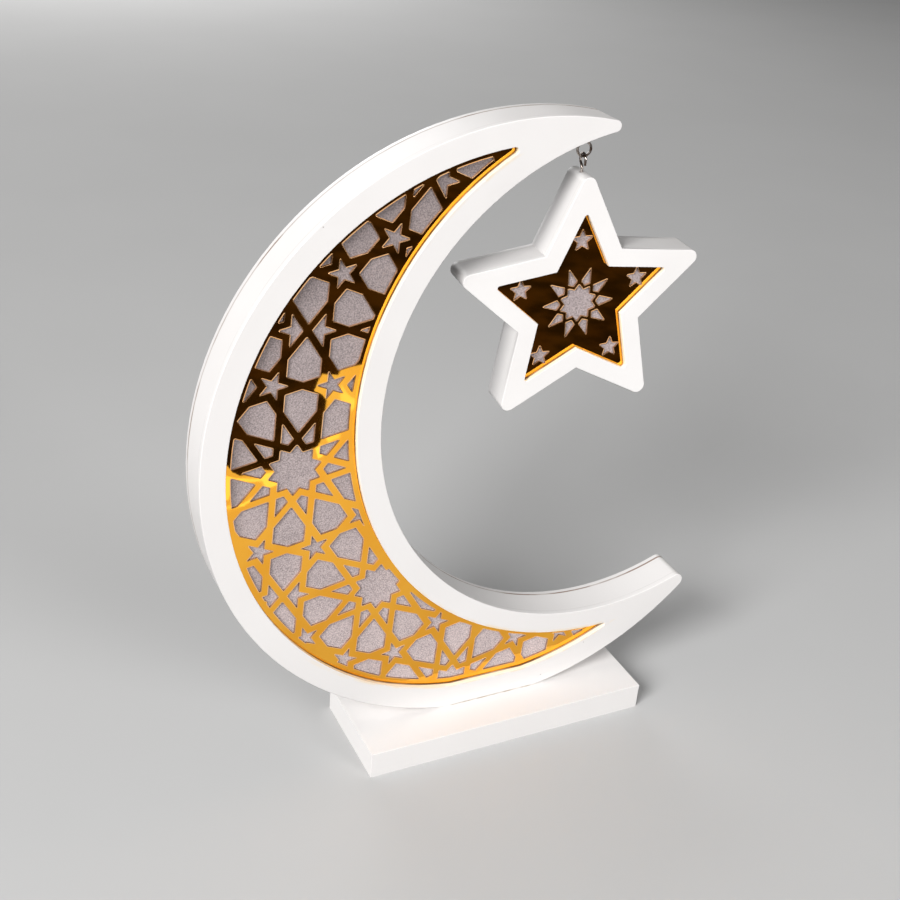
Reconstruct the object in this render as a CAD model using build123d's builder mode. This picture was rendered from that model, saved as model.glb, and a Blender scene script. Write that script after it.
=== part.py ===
from build123d import *
import os
from math import cos, radians, sin, tan

# Crescent moon ornament on a block, with a star hanging from its upper horn.
# Millimetres. X runs along the block, the front looks to -Y, Z is up.
# The origin is the middle of the block's underside.

# Base block
BASE_W = 162.0
BASE_D = 59.0
BASE_H = 15.0
BASE_BREAK = 0.6

# Layers of the moon, front to back; the star has the same panels and sheets
PANEL_T = 3.0
CORE_T = 16.0
SHEET_T = 1.0
BACKING_T = 2.0
MID_Y = 3.0
FRONT_Y = MID_Y - CORE_T / 2 - PANEL_T
CORE_FRONT_Y = MID_Y - CORE_T / 2
CORE_BACK_Y = MID_Y + CORE_T / 2
BACK_Y = CORE_BACK_Y + PANEL_T
EDGE_BREAK = 0.35
SHEET_GAP = 0.3

# Moon: one circle with a smaller one bitten out of it, cut flat at the foot
MOON_R = 160.0
MOON_C = (-2.0, 172.4)
BITE_R = 134.0
BITE_C = (58.0, 192.6)
MOON_BORDER = 12.0
MOON_WALL = 8.0
MOON_FOOT_TOP = BASE_H + 24.0
UPPER_TIP_R = 2.7
LOWER_TIP_R = 4.2
WALL_TIP_R = 1.8

# Moon's window: its border widens over the foot and towards the lower horn
WINDOW_LIFT = 0.5
WINDOW_FLOOR = BASE_H + 13.4
LOW_ARC_R = 152.1
LOW_ARC_C = (-5.1, 179.0)
WINDOW_UPPER_R = 1.8
WINDOW_LOWER_R = 1.2

# Ten-fold lattice: where one rosette sits, how it is turned and skewed, rosette spacing
LATTICE_AT = (-116.6, 174.9)
LATTICE_TURN = 86.1
LATTICE_SKEW = 0.042
LATTICE_STEP = 85.0
STRAP_HALF = 1.75
STAR_TRIM = 0.3
LATTICE_RIM = 3.2
SMALLEST_HOLE = 5.0

# Star, measured from the bend of its hook; it hangs a little turned and off plumb
STAR_CORE_T = 12.0
STAR_DROP = 68.0
STAR_C = (0.0, -STAR_DROP)
STAR_TURN = -6.4
STAR_LEAN = 3.3
STAR_TIP = 67.3
STAR_NOTCH = 32.7
STAR_TIP_R = 3.8
STAR_BORDER = 9.0
STAR_WALL = 6.0
SMALL_STAR_AT = 31.2
SMALL_STAR_R = 5.6
SMALL_STAR_NOTCH = 2.5
ROSETTE_STEP = 58.0
ROSETTE_STRAP = 0.9

# Screw eye in the horn and screw hook in the star
HANG_X = 20.1
HANG_Y = 1.0
STAR_FRONT_Y = HANG_Y - STAR_CORE_T / 2
STAR_BACK_Y = HANG_Y + STAR_CORE_T / 2
WIRE_R = 0.6
EYE_R = 3.3
EYE_LOW_Z = 311.0
EYE_SHANK_R = 0.8
EYE_SHANK_TOP = 328.0
HOOK_R = 2.7
HOOK_SIT = 0.15
HOOK_Z = EYE_LOW_Z + 2 * WIRE_R + HOOK_SIT - HOOK_R
HOOK_SHANK_R = 0.9
HOOK_SHANK_BOTTOM = 295.6
TURN_GAP = 0.08
PILOT_GAP = 0.05

# Base screws
SCREW_X = 18.0
SCREW_HEAD_R = 4.0
SCREW_R = 1.75
SCREW_L = 32.0
SCREW_SINK = 0.6
SCREW_GAP = 0.25
DRIVE_W = 1.0
DRIVE_L = 4.2
DRIVE_DEEP = 1.6


def at_depth(y):
    """Upright plane at depth y; sketches on it read as seen from the front."""
    return Plane.XZ.offset(-y)


def at_star_depth(y):
    """Upright plane at depth y for the star: its origin is the hook's bend, and it leans."""
    lean = radians(STAR_LEAN)
    return Plane(origin=(HANG_X, y, HOOK_Z), x_dir=(cos(lean), 0, sin(lean)), z_dir=(0, -1, 0))


def polar(radius, degrees, centre=(0.0, 0.0)):
    """Point at a radius and angle from a centre."""
    return (centre[0] + radius * cos(radians(degrees)), centre[1] + radius * sin(radians(degrees)))


def crescent(inset, upper_r, lower_r):
    """Moon outline moved inwards by inset, with its two horn tips rounded."""
    with BuildSketch() as outline:
        with Locations(MOON_C):
            Circle(MOON_R - inset)
        with Locations(BITE_C):
            Circle(BITE_R + inset, mode=Mode.SUBTRACT)
        with Locations((0, BASE_H + inset)):
            Rectangle(4 * MOON_R, 4 * MOON_R, align=(Align.CENTER, Align.MAX), mode=Mode.SUBTRACT)
        tips = outline.vertices().filter_by(lambda v: v.Y > BASE_H + inset + 1).sort_by(Axis.Y)
        fillet(tips[1], upper_r)
        fillet(outline.vertices().sort_by_distance(tips[0].center())[0], lower_r)
    return outline.sketch


def window_shape(inset, upper_r, lower_r):
    """Outline of the moon's window moved inwards by inset, with its two tips rounded."""
    with BuildSketch() as outline:
        with Locations((MOON_C[0], MOON_C[1] + WINDOW_LIFT)):
            Circle(MOON_R - MOON_BORDER - inset)
        with Locations(LOW_ARC_C):
            Circle(LOW_ARC_R - inset, mode=Mode.INTERSECT)
        with Locations(BITE_C):
            Circle(BITE_R + MOON_BORDER + inset, mode=Mode.SUBTRACT)
        with Locations((0, WINDOW_FLOOR + inset)):
            Rectangle(4 * MOON_R, 4 * MOON_R, align=(Align.CENTER, Align.MAX), mode=Mode.SUBTRACT)
        lower_tip = outline.vertices().sort_by(Axis.X)[-1].center()
        fillet(outline.vertices().sort_by(Axis.Y)[-1], upper_r)
        fillet(outline.vertices().sort_by_distance(lower_tip)[0], lower_r)
    return outline.sketch


def star_shape(inset, tip_r):
    """Five-pointed star outline moved inwards by inset, with rounded points."""
    half = radians(36)
    edge_dist = STAR_TIP * STAR_NOTCH * sin(half)
    edge_dist /= ((STAR_TIP - STAR_NOTCH * cos(half)) ** 2 + (STAR_NOTCH * sin(half)) ** 2) ** 0.5
    size = 1 - inset / edge_dist
    points = []
    for k in range(10):
        radius = STAR_TIP if k % 2 == 0 else STAR_NOTCH
        points.append(polar(radius * size, 90 + 36 * k, STAR_C))
    with BuildSketch() as outline:
        with BuildLine():
            Polyline(*points, close=True)
        make_face()
        middle = Vector(*STAR_C)
        tips = [v for v in outline.vertices() if (Vector(v) - middle).length > STAR_NOTCH * size + 1]
        fillet(tips, tip_r)
    return outline.sketch


def moved_in(points, gap):
    """Corner points of a polygon whose sides have moved inwards by gap."""
    inner = []
    for k in range(len(points)):
        before = Vector(*points[k - 1])
        here = Vector(*points[k])
        after = Vector(*points[(k + 1) % len(points)])
        into = (here - before).normalized()
        away = (after - here).normalized()
        bend = into.X * away.Y - into.Y * away.X
        slide = (away - into) * (gap / bend)
        inner.append((here.X + slide.X, here.Y + slide.Y))
    return inner


def turned(points, degrees, centre):
    """Points given along and across an axis, set down at an angle and place."""
    c = cos(radians(degrees))
    s = sin(radians(degrees))
    return [(centre[0] + u * c - v * s, centre[1] + u * s + v * c) for u, v in points]


def rosette_sizes(step):
    """Line crossings of a ten-fold rosette whose neighbours are one step away."""
    apothem = step / 2
    corner = apothem / cos(radians(18))
    reach = apothem * tan(radians(18))
    outer = corner - reach
    side = outer * sin(radians(18))
    return apothem, corner, reach, outer, side, side / sin(radians(36)), side / cos(radians(36))


def lattice_cells(centre, turn, step):
    """Cells that belong to one rosette of the ten-fold lattice."""
    apothem, corner, reach, outer, side, tip, notch = rosette_sizes(step)
    small_notch = reach * sin(radians(18)) / sin(radians(54))
    drop = side * tan(radians(18))
    rise = side / tan(radians(36))
    length = apothem - tip
    petal = [(0, 0), (rise, -side), (length - drop, -side), (length, 0), (length - drop, side), (rise, side)]
    arrow = [(0, 0), (rise, side), (drop, side), (0, 2 * side), (-drop, side), (-rise, side)]
    cells = [[polar(tip if k % 2 == 0 else notch, turn + 18 * k, centre) for k in range(20)]]
    for k in range(10):
        axis = turn + 36 * k
        cells.append(turned([(u + tip, v) for u, v in petal], axis, centre))
        cells.append([polar(notch, axis + 18, centre), polar(tip, axis, centre),
                      polar(outer, axis + 18, centre), polar(tip, axis + 36, centre)])
    for side_turn in (-54, -18, 18, 54):
        star_at = polar(corner, turn + side_turn, centre)
        small_star = [polar(reach if k % 2 == 0 else small_notch, turn + side_turn + 180 + 36 * k, star_at)
                      for k in range(10)]
        cells.append(moved_in(small_star, STAR_TRIM))
    waist = polar(step * cos(radians(36)), turn, centre)
    for half_turn in (0, 180):
        cells.append(turned(petal, turn + half_turn, waist))
        cells.append(turned(arrow, turn + half_turn, waist))
    return cells


def skewed(cell):
    """Points of a lattice cell after the slight skew of the whole lattice."""
    axis = Vector(*polar(1, LATTICE_TURN))
    moved = []
    for x, z in cell:
        off = Vector(x - LATTICE_AT[0], z - LATTICE_AT[1])
        across = off.Y * axis.X - off.X * axis.Y
        moved.append((off.dot(axis) + LATTICE_SKEW * across, across))
    return turned(moved, LATTICE_TURN, LATTICE_AT)


def near_window(cell):
    """Whether a cell's middle lies in or close to the moon's band."""
    middle = Vector(sum(x for x, _ in cell), sum(z for _, z in cell)) / len(cell)
    in_moon = (middle - Vector(*MOON_C)).length < MOON_R
    in_bite = (middle - Vector(*BITE_C)).length < BITE_R
    return in_moon and not in_bite and middle.Y > 0


def lattice_holes():
    """Openings of the moon's lattice, trimmed to leave a plain rim in the window."""
    cells = []
    for i in range(-3, 4):
        row = polar(i * LATTICE_STEP, LATTICE_TURN + 36, LATTICE_AT)
        for j in range(-3, 4):
            corner = polar(j * LATTICE_STEP, LATTICE_TURN - 36, row)
            around = [skewed(cell) for cell in lattice_cells(corner, LATTICE_TURN, LATTICE_STEP)]
            cells += [cell for cell in around if near_window(cell)]
    with BuildSketch() as holes:
        add([Polygon(*moved_in(cell, STRAP_HALF), align=None, mode=Mode.PRIVATE) for cell in cells])
        add(window_shape(LATTICE_RIM, 0.6, 0.6), mode=Mode.INTERSECT)
    return [face for face in holes.sketch.faces() if face.area > SMALLEST_HOLE]


def star_holes():
    """Openings of the star's sheet: one small star in each point, a rosette in the middle."""
    apothem, corner, reach, outer, side, tip, notch = rosette_sizes(ROSETTE_STEP)
    cells = [[polar(tip if k % 2 == 0 else notch, 90 + 18 * k, STAR_C) for k in range(20)]]
    for k in range(10):
        axis = 90 + 36 * k
        cells.append([polar(notch, axis + 18, STAR_C), polar(tip, axis, STAR_C),
                      polar(outer, axis + 18, STAR_C), polar(tip, axis + 36, STAR_C)])
    with BuildSketch() as holes:
        for cell in cells:
            Polygon(*moved_in(cell, ROSETTE_STRAP), align=None)
        for k in range(5):
            at = polar(SMALL_STAR_AT, 90 + 72 * k, STAR_C)
            radii = [SMALL_STAR_R, SMALL_STAR_NOTCH] * 5
            Polygon(*[polar(radius, 90 + 36 * n, at) for n, radius in enumerate(radii)], align=None)
    return holes.sketch.faces()


os.makedirs("parts", exist_ok=True)

# Outlines used by more than one piece
moon_face = crescent(0, UPPER_TIP_R, LOWER_TIP_R)
moon_window = window_shape(0, WINDOW_UPPER_R, WINDOW_LOWER_R)
moon_pocket = crescent(MOON_WALL, WALL_TIP_R, WALL_TIP_R)
moon_sheet = crescent(MOON_WALL + SHEET_GAP, WALL_TIP_R, WALL_TIP_R)
star_face = star_shape(0, STAR_TIP_R)
star_window = star_shape(STAR_BORDER, 1.2)
star_pocket = star_shape(STAR_WALL, 1.2)
star_sheet = star_shape(STAR_WALL + SHEET_GAP, 1.2)

# Base block with two countersunk holes from below
with BuildPart() as base_block:
    Box(BASE_W, BASE_D, BASE_H, align=(Align.CENTER, Align.CENTER, Align.MIN))
    chamfer(base_block.edges().filter_by(Axis.Z) + base_block.edges().group_by(Axis.Z)[-1], BASE_BREAK)
    with Locations(Plane.XY.rotated((180, 0, 0))):
        with Locations((-SCREW_X, -MID_Y), (SCREW_X, -MID_Y)):
            CounterSinkHole(SCREW_R + SCREW_GAP, SCREW_HEAD_R + SCREW_SINK, counter_sink_angle=90)
base_block.part.label = "base_block"

# Two wood screws up through the block into the moon's foot
with BuildPart() as base_screws:
    with BuildSketch(Plane.XZ) as screw_half:
        with BuildLine():
            Polyline(
                (0, SCREW_SINK),
                (SCREW_HEAD_R, SCREW_SINK),
                (SCREW_R, SCREW_SINK + SCREW_HEAD_R - SCREW_R),
                (SCREW_R, SCREW_L - 3),
                (0.25, SCREW_L),
                (0, SCREW_L),
                close=True,
            )
        make_face()
    revolve(axis=Axis.Z)
    with BuildSketch(Plane.XY.offset(SCREW_SINK)):
        Rectangle(DRIVE_L, DRIVE_W)
        Rectangle(DRIVE_W, DRIVE_L)
    extrude(amount=DRIVE_DEEP, mode=Mode.SUBTRACT)
one_screw = base_screws.part
with BuildPart() as base_screws:
    with Locations((-SCREW_X, MID_Y, 0), (SCREW_X, MID_Y, 0)):
        add(one_screw)
base_screws.part.label = "base_screws"

# Moon, front to back
with BuildPart() as moon_front_panel:
    with BuildSketch(at_depth(CORE_FRONT_Y)):
        add(moon_face)
    extrude(amount=PANEL_T)
    chamfer(moon_front_panel.edges().group_by(Axis.Y)[0], EDGE_BREAK)
    with BuildSketch(at_depth(CORE_FRONT_Y)):
        add(moon_window)
    extrude(amount=PANEL_T, mode=Mode.SUBTRACT)
moon_front_panel.part.label = "moon_front_panel"

with BuildPart() as moon_lattice:
    with BuildSketch(at_depth(CORE_FRONT_Y + SHEET_T)):
        add(moon_sheet)
        add(lattice_holes(), mode=Mode.SUBTRACT)
    extrude(amount=SHEET_T)
moon_lattice.part.label = "moon_lattice"

with BuildPart() as moon_backing:
    with BuildSketch(at_depth(CORE_FRONT_Y + SHEET_T + BACKING_T)):
        add(moon_sheet)
    extrude(amount=BACKING_T)
moon_backing.part.label = "moon_backing"

with BuildPart() as moon_core:
    with BuildSketch(at_depth(CORE_BACK_Y)):
        add(moon_face)
    extrude(amount=CORE_T)
    with BuildSketch(at_depth(CORE_FRONT_Y + SHEET_T + BACKING_T)):
        add(moon_pocket)
    extrude(amount=SHEET_T + BACKING_T, mode=Mode.SUBTRACT)
    with BuildSketch(at_depth(CORE_BACK_Y)):
        add(moon_pocket)
        with Locations((0, MOON_FOOT_TOP)):
            Rectangle(4 * MOON_R, 4 * MOON_R, align=(Align.CENTER, Align.MAX), mode=Mode.SUBTRACT)
    extrude(amount=CORE_T, mode=Mode.SUBTRACT)
    with Locations((-SCREW_X, MID_Y, BASE_H), (SCREW_X, MID_Y, BASE_H)):
        Cylinder(SCREW_R + PILOT_GAP, SCREW_L - BASE_H + 0.5,
                 align=(Align.CENTER, Align.CENTER, Align.MIN), mode=Mode.SUBTRACT)
    with Locations((HANG_X, HANG_Y, EYE_LOW_Z + 2 * EYE_R)):
        Cylinder(EYE_SHANK_R + TURN_GAP, EYE_SHANK_TOP + 0.5 - EYE_LOW_Z - 2 * EYE_R,
                 align=(Align.CENTER, Align.CENTER, Align.MIN), mode=Mode.SUBTRACT)
moon_core.part.label = "moon_core"

with BuildPart() as moon_back_panel:
    with BuildSketch(at_depth(BACK_Y)):
        add(moon_face)
    extrude(amount=PANEL_T)
    chamfer(moon_back_panel.edges().group_by(Axis.Y)[-1], EDGE_BREAK)
moon_back_panel.part.label = "moon_back_panel"

# Screw eye: a wire ring under the horn on a pointed shank
with BuildPart() as moon_screw_eye:
    with BuildSketch(Plane.YZ.offset(HANG_X)):
        with Locations((HANG_Y, EYE_LOW_Z)):
            Circle(WIRE_R)
    revolve(axis=Axis((HANG_X, HANG_Y, EYE_LOW_Z + EYE_R), (0, 1, 0)))
    with BuildSketch(Plane.XZ.offset(-HANG_Y)):
        with BuildLine():
            Polyline(
                (HANG_X, EYE_LOW_Z + 2 * EYE_R),
                (HANG_X + EYE_SHANK_R, EYE_LOW_Z + 2 * EYE_R),
                (HANG_X + EYE_SHANK_R, EYE_SHANK_TOP - 2),
                (HANG_X + 0.15, EYE_SHANK_TOP),
                (HANG_X, EYE_SHANK_TOP),
                close=True,
            )
        make_face()
    revolve(axis=Axis((HANG_X, HANG_Y, 0), (0, 0, 1)))
moon_screw_eye.part.label = "moon_screw_eye"

# Star, front to back
with BuildPart() as star_front_panel:
    with BuildSketch(at_star_depth(STAR_FRONT_Y)):
        add(star_face)
    extrude(amount=PANEL_T)
    chamfer(star_front_panel.edges().group_by(Axis.Y)[0], EDGE_BREAK)
    with BuildSketch(at_star_depth(STAR_FRONT_Y)):
        add(star_window)
    extrude(amount=PANEL_T, mode=Mode.SUBTRACT)
star_front_panel.part.label = "star_front_panel"

with BuildPart() as star_lattice:
    with BuildSketch(at_star_depth(STAR_FRONT_Y + SHEET_T)):
        add(star_sheet)
        add(star_holes(), mode=Mode.SUBTRACT)
    extrude(amount=SHEET_T)
star_lattice.part.label = "star_lattice"

with BuildPart() as star_backing:
    with BuildSketch(at_star_depth(STAR_FRONT_Y + SHEET_T + BACKING_T)):
        add(star_sheet)
    extrude(amount=BACKING_T)
star_backing.part.label = "star_backing"

with BuildPart() as star_core:
    with BuildSketch(at_star_depth(STAR_BACK_Y)):
        add(star_face)
    extrude(amount=STAR_CORE_T)
    with BuildSketch(at_star_depth(STAR_BACK_Y)):
        add(star_pocket)
    extrude(amount=STAR_CORE_T, mode=Mode.SUBTRACT)
    with Locations((HANG_X, HANG_Y, HOOK_SHANK_BOTTOM - 0.5)):
        Cylinder(HOOK_SHANK_R + PILOT_GAP, 20,
                 align=(Align.CENTER, Align.CENTER, Align.MIN), mode=Mode.SUBTRACT)
star_core.part.label = "star_core"

with BuildPart() as star_back_panel:
    with BuildSketch(at_star_depth(STAR_BACK_Y + PANEL_T)):
        add(star_face)
    extrude(amount=PANEL_T)
    chamfer(star_back_panel.edges().group_by(Axis.Y)[-1], EDGE_BREAK)
star_back_panel.part.label = "star_back_panel"

# Screw hook: a wire question mark that opens to the front
bend_z = HOOK_Z - 2 * HOOK_R * sin(radians(60))
star_top = HOOK_Z - STAR_DROP + STAR_TIP - STAR_TIP_R * 1.35
with BuildPart() as star_screw_hook:
    with BuildLine(Plane.YZ.offset(HANG_X)) as hook_path:
        Line((HANG_Y, star_top - 1), (HANG_Y, bend_z))
        CenterArc((HANG_Y + HOOK_R, bend_z), HOOK_R, 180, -60)
        CenterArc((HANG_Y, HOOK_Z), HOOK_R, -60, 240)
        Line((HANG_Y - HOOK_R, HOOK_Z), (HANG_Y - HOOK_R, HOOK_Z - 2.2))
    with BuildSketch(Plane.XY.offset(star_top - 1)):
        with Locations((HANG_X, HANG_Y)):
            Circle(WIRE_R)
    sweep(path=hook_path.line)
    with BuildSketch(Plane.XZ.offset(-HANG_Y)):
        with BuildLine():
            Polyline(
                (HANG_X, HOOK_SHANK_BOTTOM),
                (HANG_X + 0.15, HOOK_SHANK_BOTTOM),
                (HANG_X + HOOK_SHANK_R, HOOK_SHANK_BOTTOM + 2),
                (HANG_X + HOOK_SHANK_R, star_top - 0.5),
                (HANG_X, star_top - 0.5),
                close=True,
            )
        make_face()
    revolve(axis=Axis((HANG_X, HANG_Y, 0), (0, 0, 1)))
star_screw_hook.part.label = "star_screw_hook"

standing = [
    base_block, base_screws, moon_front_panel, moon_lattice, moon_backing, moon_core, moon_back_panel,
]
hanging = [
    moon_screw_eye, star_front_panel, star_lattice, star_backing, star_core, star_back_panel, star_screw_hook,
]
for piece in standing:
    export_step(piece.part, "parts/" + piece.part.label + ".step")
for piece in hanging:
    label = piece.part.label
    hung = piece.part.rotate(Axis((HANG_X, HANG_Y, 0), (0, 0, 1)), STAR_TURN)
    hung.label = label
    export_step(hung, "parts/" + label + ".step")
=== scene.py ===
"""Looks of a crescent ornament with a hanging star: finishes, foil, wire and studio around its solids."""
import logging
from abc import ABC, abstractmethod
from dataclasses import dataclass
from enum import Enum
from math import cos, pi, radians, sin

import bmesh
import bpy
from mathutils import Matrix, Vector


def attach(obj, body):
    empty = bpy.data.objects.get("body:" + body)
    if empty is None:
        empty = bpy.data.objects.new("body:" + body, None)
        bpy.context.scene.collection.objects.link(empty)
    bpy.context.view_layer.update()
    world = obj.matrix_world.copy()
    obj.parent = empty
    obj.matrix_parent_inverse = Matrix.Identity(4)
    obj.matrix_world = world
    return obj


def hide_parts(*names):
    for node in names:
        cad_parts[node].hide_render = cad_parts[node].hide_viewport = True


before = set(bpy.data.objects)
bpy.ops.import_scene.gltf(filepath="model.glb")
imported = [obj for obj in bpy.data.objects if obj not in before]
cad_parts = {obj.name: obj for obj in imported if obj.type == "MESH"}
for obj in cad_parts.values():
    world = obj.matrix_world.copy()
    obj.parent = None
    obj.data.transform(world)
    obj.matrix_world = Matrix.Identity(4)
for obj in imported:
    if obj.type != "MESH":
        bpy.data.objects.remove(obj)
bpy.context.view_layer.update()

MM = 0.001
LOG = logging.getLogger("ornament")

Color = tuple[float, float, float]
Point = tuple[float, float, float]
Pair = tuple[float, float]
Socket = bpy.types.NodeSocket

# Noise values between which a cloudy pattern goes from none to all
CLOUD_BAND: Pair = (0.35, 0.65)


class Body(Enum):
    """Rigid bodies of the part."""

    STAND = "moon_stand"
    EYE = "eye"
    STAR = "star"


class Slot(Enum):
    """Material slots of the record; each new piece is given one, which nothing here reads."""

    PAINT = "white_paint"
    BASE_PAINT = "base_paint"
    GOLD = "gold_mirror"
    STEEL = "steel"


@dataclass(frozen=True)
class Layout:
    """Places and sizes shared by the sub-assemblies, in metres."""

    front_y: float = -8 * MM
    front_seam_y: float = -5 * MM
    back_seam_y: float = 11 * MM
    star_back_seam_y: float = 7 * MM
    foot_z: float = 15 * MM
    moon_centre: Pair = (-2 * MM, 172.4 * MM)
    moon_radius: float = 160 * MM
    bite_centre: Pair = (58 * MM, 192.6 * MM)
    bite_radius: float = 134 * MM
    moon_border: float = 12 * MM
    window_floor_z: float = 28.4 * MM
    low_arc_centre: Pair = (-5.1 * MM, 179.0 * MM)
    low_arc_radius: float = 152.1 * MM
    hang_x: float = 20.1 * MM
    hang_y: float = 1.0 * MM
    hook_z: float = 309.65 * MM
    star_turn: float = radians(-6.4)
    camera: Point = (-296.68 * MM, -494.57 * MM, 473.87 * MM)

    @property
    def hang(self) -> Vector:
        """Middle of the hook's bend, where the star hangs."""
        return Vector((self.hang_x, self.hang_y, self.hook_z))


LAYOUT = Layout()


def direction(azimuth: float, elevation: float) -> Vector:
    """Direction from the ornament, by its angles from the front and from the level.

    Args:
        azimuth: angle round the upright, in radians.
        elevation: angle above the level, in radians.

    Returns:
        The unit vector.
    """
    return Vector((sin(azimuth) * cos(elevation), -cos(azimuth) * cos(elevation), sin(elevation)))


@dataclass(frozen=True)
class Spot:
    """Coordinates of the shaded point in a board's own frame."""

    place: Socket
    across: Socket
    depth: Socket
    up: Socket


class Shading:
    """Node tree of one material, with short calls for the nodes that the finishes share."""

    # Sockets of a colour mix, whose names repeat for each type of data
    MIX_SHARE, MIX_FIRST, MIX_SECOND, MIX_RESULT = 0, 6, 7, 2

    def __init__(self, name: str) -> None:
        """Makes an empty principled material.

        Args:
            name: name of the material.
        """
        self.material = bpy.data.materials.new(name)
        self.material.use_nodes = True
        self.tree = self.material.node_tree
        self.bsdf = self.tree.nodes["Principled BSDF"]

    def put(self, socket: Socket, value: object) -> None:
        """Links a socket into another one, or sets a constant on it.

        Args:
            socket: input to fill.
            value: output socket, number, colour or vector.
        """
        if isinstance(value, bpy.types.NodeSocket):
            self.tree.links.new(value, socket)
        elif isinstance(value, tuple) and len(value) == 3 and len(socket.default_value) == 4:
            socket.default_value = (*value, 1.0)
        else:
            socket.default_value = value

    def surface(self, **inputs: object) -> None:
        """Fills inputs of the principled shader.

        Args:
            inputs: values by lower-case name, such as base_color.
        """
        for key, value in inputs.items():
            self.put(self.bsdf.inputs[key.replace("_", " ").title().replace("Ior", "IOR")], value)

    def node(
        self, kind: str, settings: dict[str, object] | None = None, **inputs: object,
    ) -> bpy.types.Node:
        """Adds a node.

        Args:
            kind: type of the node without its ShaderNode prefix.
            settings: properties of the node.
            inputs: values of its inputs, by lower-case name.

        Returns:
            The new node.
        """
        made = self.tree.nodes.new("ShaderNode" + kind)
        for key, value in (settings or {}).items():
            setattr(made, key, value)
        for key, value in inputs.items():
            self.put(made.inputs[key.replace("_", " ").title()], value)
        return made

    def place(self) -> Socket:
        """Object coordinates."""
        return self.node("TexCoord").outputs["Object"]

    def hung(self) -> Socket:
        """Object coordinates in the star's frame, which is turned and starts where it hangs.

        Returns:
            The coordinate vector.
        """
        turn = -LAYOUT.star_turn
        mapping = self.node("Mapping", vector=self.place())
        mapping.inputs["Rotation"].default_value = (0.0, 0.0, turn)
        mapping.inputs["Location"].default_value = -(Matrix.Rotation(turn, 3, "Z") @ LAYOUT.hang)
        return mapping.outputs["Vector"]

    def spot(self, turned: bool) -> Spot:
        """Coordinates of the shaded point.

        Args:
            turned: whether the board belongs to the star.

        Returns:
            The coordinates in the board's frame.
        """
        place = self.hung() if turned else self.place()
        across, depth, up = self.split(place)
        return Spot(place, across, self.math("ADD", depth, LAYOUT.hang_y) if turned else depth, up)

    def split(self, vector: Socket) -> tuple[Socket, Socket, Socket]:
        """X, Y and Z of a vector."""
        made = self.node("SeparateXYZ", vector=vector)
        return made.outputs["X"], made.outputs["Y"], made.outputs["Z"]

    def flat(self, across: Socket, along: Socket) -> Socket:
        """Vector in a plane from two numbers."""
        return self.node("CombineXYZ", x=across, y=along).outputs["Vector"]

    def normal(self) -> tuple[Socket, Socket, Socket]:
        """X, Y and Z of the surface normal."""
        return self.split(self.node("TexCoord").outputs["Normal"])

    def noise(self, vector: Socket, scale: float, detail: float = 2.0, roughness: float = 0.5) -> Socket:
        """Cloud noise between about 0 and 1.

        Args:
            vector: coordinates.
            scale: features per metre.
            detail: octaves.
            roughness: weight of the finer octaves.

        Returns:
            The noise value.
        """
        made = self.node("TexNoise", vector=vector, scale=scale, detail=detail, roughness=roughness)
        return made.outputs["Fac"]

    def math(self, operation: str, first: object, second: object = 0.0) -> Socket:
        """One arithmetic step.

        Args:
            operation: name of the operation.
            first: first value or socket.
            second: second value or socket.

        Returns:
            The result.
        """
        made = self.node("Math", {"operation": operation})
        self.put(made.inputs[0], first)
        self.put(made.inputs[1], second)
        return made.outputs["Value"]

    def product(self, first: object, *others: object) -> Socket:
        """Product of several values.

        Args:
            first: first value or socket.
            others: further values or sockets.

        Returns:
            The product.
        """
        for other in others:
            first = self.math("MULTIPLY", first, other)
        return first

    def off(self, value: Socket, place: float) -> Socket:
        """Distance of a value from a place."""
        return self.math("ABSOLUTE", self.math("SUBTRACT", value, place))

    def past(self, spot: Spot, centre: Pair, radius: float) -> Socket:
        """How far a point lies outside a circle in an upright plane.

        Args:
            spot: coordinates of the point.
            centre: the circle's centre, across and up.
            radius: its radius.

        Returns:
            The distance, which is negative inside.
        """
        arm = self.flat(
            self.math("SUBTRACT", spot.across, centre[0]),
            self.math("SUBTRACT", spot.up, centre[1]),
        )
        reach = self.node("VectorMath", {"operation": "LENGTH"}, vector=arm).outputs["Value"]
        return self.math("SUBTRACT", reach, radius)

    def spread(
        self, value: Socket, low: float, high: float, to_low: float = 0.0, to_high: float = 1.0,
        smooth: bool = True,
    ) -> Socket:
        """Maps a range of values onto another one.

        Args:
            value: value to map.
            low: value that gives to_low.
            high: value that gives to_high.
            to_low: result at low and below.
            to_high: result at high and above.
            smooth: whether the result eases in and out instead of running straight.

        Returns:
            The mapped value.
        """
        kind = "SMOOTHSTEP" if smooth else "LINEAR"
        made = self.node("MapRange", {"interpolation_type": kind}, value=value)
        for key, number in zip(("From Min", "From Max", "To Min", "To Max"), (low, high, to_low, to_high)):
            made.inputs[key].default_value = number
        return made.outputs["Result"]

    def facing(self, shares: Pair, to_low: float, to_high: float) -> Socket:
        """Mask by how far a face looks to the front or back.

        Args:
            shares: shares of the front direction that give the two masks.
            to_low: mask on the side faces.
            to_high: mask on the flat faces.

        Returns:
            The mask.
        """
        _, front, _ = self.normal()
        return self.spread(self.math("ABSOLUTE", front), *shares, to_low, to_high)

    def mix(self, share: object, first: object, second: object) -> Socket:
        """Mixes two colours.

        Args:
            share: share of the second colour.
            first: colour or socket at share 0.
            second: colour or socket at share 1.

        Returns:
            The mixed colour.
        """
        made = self.node("Mix", {"data_type": "RGBA"})
        self.put(made.inputs[self.MIX_SHARE], share)
        self.put(made.inputs[self.MIX_FIRST], first)
        self.put(made.inputs[self.MIX_SECOND], second)
        return made.outputs[self.MIX_RESULT]

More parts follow.
